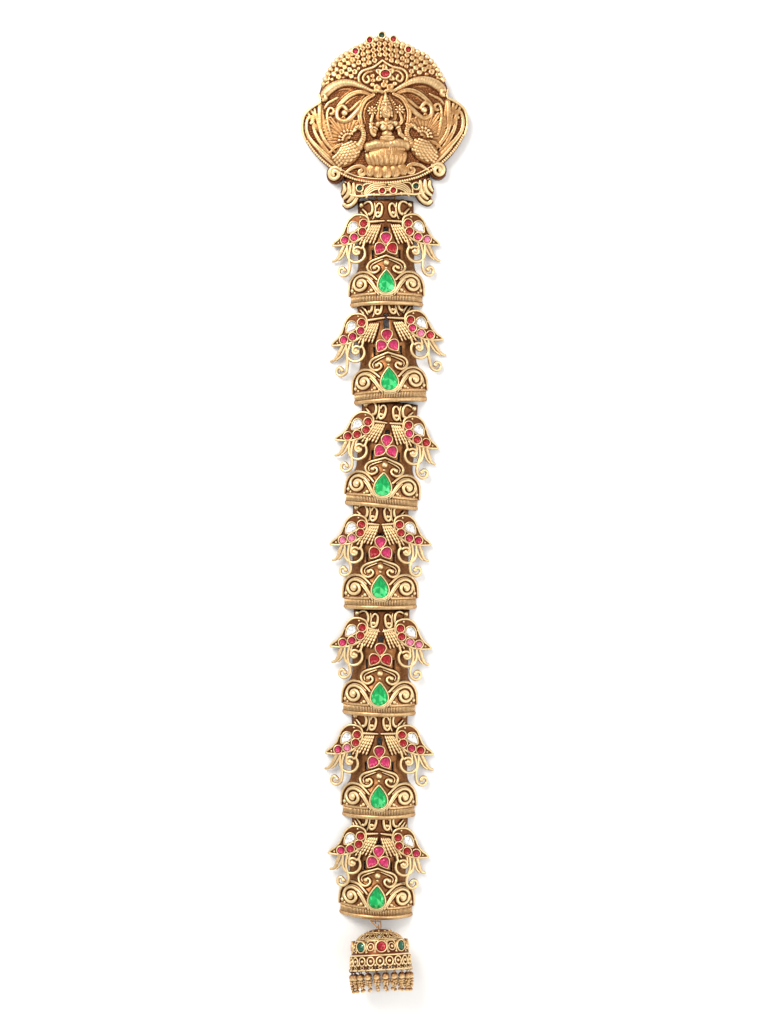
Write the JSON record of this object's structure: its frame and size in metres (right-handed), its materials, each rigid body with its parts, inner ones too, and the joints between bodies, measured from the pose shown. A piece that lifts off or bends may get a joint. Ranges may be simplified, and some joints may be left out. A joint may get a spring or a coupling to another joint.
{
  "type": "jadanagam braid ornament",
  "caption": "Long jewelled braid ornament: a domed crest with a seated figure, arched stone-set plates on links, and a bell with bead drops.",
  "frame": {"origin": "middle of the whole length and width, on the table that the ornament lies on", "axes": "+X across the braid, to the right as seen from the front, +Y along it towards the crest, +Z out of its face"},
  "size_m": [0.0721, 0.4219, 0.0283],
  "materials": {
    "gilt": "matte antique gilding, darker in the recesses",
    "steel_wire": "drawn wire",
    "red_stone": "faceted, foil backed",
    "green_stone": "faceted, foil backed",
    "clear_stone": "faceted, foil backed"
  },
  "bodies": {
    "root": {"crest": "gilt", "crest_pin": "steel_wire", "crest_top_stones": "red_stone", "crest_centre_stone": "red_stone", "collar_stones": "red_stone", "segment_1": "gilt", "segment_2": "gilt", "segment_3": "gilt", "segment_4": "gilt", "segment_5": "gilt", "segment_6": "gilt", "segment_7": "gilt", "green_stone_1": "green_stone", "green_stone_2": "green_stone", "green_stone_3": "green_stone", "green_stone_4": "green_stone", "green_stone_5": "green_stone", "green_stone_6": "green_stone", "green_stone_7": "green_stone", "red_stones_1": "red_stone", "red_stones_2": "red_stone", "red_stones_3": "red_stone", "red_stones_4": "red_stone", "red_stones_5": "red_stone", "red_stones_6": "red_stone", "red_stones_7": "red_stone", "clear_stones_1": "clear_stone", "clear_stones_2": "clear_stone", "clear_stones_3": "clear_stone", "clear_stones_4": "clear_stone", "clear_stones_5": "clear_stone", "clear_stones_6": "clear_stone", "clear_stones_7": "clear_stone", "wing_stones_1": "red_stone", "wing_stones_2": "red_stone", "wing_stones_3": "red_stone", "wing_stones_4": "red_stone", "wing_stones_5": "red_stone", "wing_stones_6": "red_stone", "wing_stones_7": "red_stone", "links_1": "gilt", "links_2": "gilt", "links_3": "gilt", "links_4": "gilt", "links_5": "gilt", "links_6": "gilt", "links_7": "gilt", "bell_bail": "gilt", "bell": "gilt", "bell_stones": "red_stone", "bell_drops": "gilt"}
  },
  "joints": []
}
